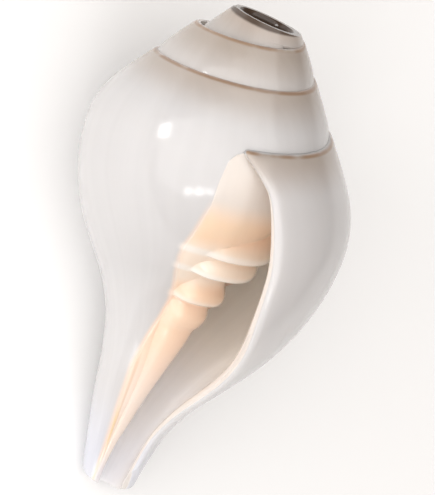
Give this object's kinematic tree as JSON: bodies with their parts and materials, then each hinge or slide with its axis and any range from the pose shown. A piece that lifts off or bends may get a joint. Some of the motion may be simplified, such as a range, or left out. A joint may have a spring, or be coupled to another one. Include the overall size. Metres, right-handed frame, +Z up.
{
  "type": "conch shell",
  "caption": "Polished spiral conch shell lying on its back: swollen body, stepped spire with a sawn blow hole, wide mouth with a folded pillar, and a long open canal.",
  "frame": {"origin": "middle of the shell's bounding box, at the height of what it lies on", "axes": "+Z up; +Y along the coiling axis's run over the floor, towards the spire; the canal points to -Y and the mouth faces up and to -X"},
  "size_m": [0.0868, 0.1558, 0.09],
  "materials": {
    "polished_shell": "polished natural shell, white with a peach pillar"
  },
  "bodies": {
    "root": {"shell": "polished_shell"}
  },
  "joints": []
}
